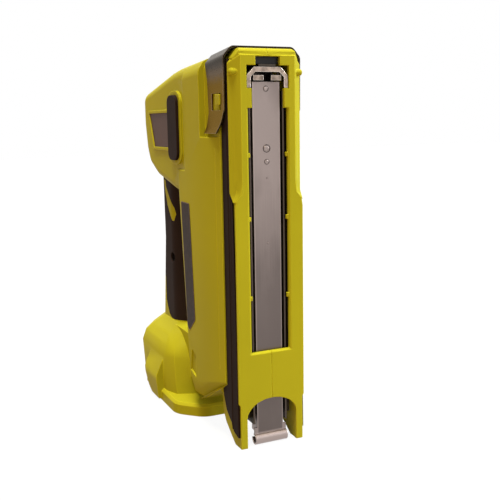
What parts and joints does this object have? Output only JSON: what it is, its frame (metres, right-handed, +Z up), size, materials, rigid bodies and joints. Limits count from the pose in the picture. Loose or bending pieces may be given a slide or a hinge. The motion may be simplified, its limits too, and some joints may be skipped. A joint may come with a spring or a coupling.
{
  "type": "cordless stapler",
  "caption": "Battery powered crown stapler with D-handle, nose cover strap, slide-out staple magazine, finger pull, trigger and open battery foot, standing on its tail.",
  "frame": {"origin": "middle of the bounding box at its bottom, where the tail legs and battery foot stand", "axes": "+Z up from the tail to the nose, -Y the way the work face looks, X = 0 the split plane of the shell"},
  "size_m": [0.08, 0.155, 0.232],
  "materials": {
    "yellow_shell": "moulded, faint grain",
    "dark_rubber": "soft matt overmould",
    "badge_grey": "plain blank plate",
    "spring_steel": "bright spring steel sheet",
    "rail_steel": "brushed lengthwise",
    "channel_steel": "pressed sheet",
    "bright_plate": "nickel plated",
    "black_steel": "blackened steel",
    "tool_steel": "ground",
    "staple_wire": "galvanised",
    "screw_steel": "blackened",
    "black_plastic": "moulded",
    "motor_can": "zinc plated can",
    "gear_steel": "sintered",
    "bush_brass": "sintered bronze",
    "board_green": "coated board",
    "terminal_brass": "plated blades"
  },
  "bodies": {
    "frame": {"housing_right": "yellow_shell", "housing_left": "yellow_shell", "side_band_right": "dark_rubber", "side_band_left": "dark_rubber", "bumper_right": "dark_rubber", "bumper_left": "dark_rubber", "grip_right": "dark_rubber", "grip_left": "dark_rubber", "badge_right": "badge_grey", "badge_left": "badge_grey", "nose_cover": "spring_steel", "nose_front": "black_steel", "nose_rear": "black_steel", "front_keeper": "bright_plate", "magazine_channel": "channel_steel", "staple_track": "channel_steel", "staple_strip": "staple_wire", "motor": "motor_can", "gear_plate": "tool_steel", "upper_plate": "tool_steel", "reduction_bush": "bush_brass", "upper_bush": "bush_brass", "lifter_bush": "bush_brass", "stop_bumper": "dark_rubber", "drive_spring": "spring_steel", "spring_seat": "black_plastic", "trigger_spring": "spring_steel", "trigger_switch": "black_plastic", "control_board": "board_green", "terminal_block": "black_plastic", "battery_terminals": "terminal_brass", "housing_screws": "screw_steel"},
    "trigger": {"trigger": "black_plastic"},
    "rail": {"magazine_rail": "rail_steel", "tail_block": "black_plastic", "guide_rod": "tool_steel", "pusher_spring": "spring_steel"},
    "pusher": {"pusher": "tool_steel"},
    "lifter": {"lifter_gear": "gear_steel"},
    "reduction": {"reduction_gear": "gear_steel"},
    "pinion": {"motor_pinion": "gear_steel"},
    "plunger": {"plunger": "tool_steel", "driver_blade": "tool_steel"}
  },
  "joints": [
    {"name": "trigger_pull", "type": "slide", "parent": "frame", "child": "trigger", "axis": [0, 1, 0], "range_m": [0, 0.006], "stiffness_N_per_m": 400, "springref_m": -0.004, "deforming": ["trigger_spring"]},
    {"name": "rail_slide", "type": "slide", "parent": "frame", "child": "rail", "axis": [0, 0, -1], "range_m": [0, 0.13]},
    {"name": "pusher_slide", "type": "slide", "parent": "rail", "child": "pusher", "axis": [0, 0, 1], "range_m": [-0.055, 0], "stiffness_N_per_m": 40, "springref_m": 0.06, "deforming": ["pusher_spring"]},
    {"name": "plunger_lift", "type": "slide", "parent": "frame", "child": "plunger", "axis": [0, 1, 0], "range_m": [0, 0.0168], "stiffness_N_per_m": 800, "springref_m": -0.012, "deforming": ["drive_spring"]},
    {"name": "lifter_turn", "type": "hinge", "parent": "frame", "child": "lifter", "pos_m": [0, 0.0143, 0.18], "axis": [0, 0, 1], "range_deg": [0, 80.3]},
    {"name": "reduction_turn", "type": "hinge", "parent": "frame", "child": "reduction", "pos_m": [0, -0.0097, 0.175], "axis": [0, 0, 1], "range_deg": [-241, 0]},
    {"name": "pinion_turn", "type": "hinge", "parent": "frame", "child": "pinion", "pos_m": [0, -0.0305, 0.172], "axis": [0, 0, 1], "range_deg": [0, 803]}
  ],
  "couplings": [
    {"joint": "lifter_turn", "follows": "plunger_lift", "rad_per_m": 83.333},
    {"joint": "reduction_turn", "follows": "plunger_lift", "rad_per_m": -250},
    {"joint": "pinion_turn", "follows": "plunger_lift", "rad_per_m": 833.33}
  ]
}
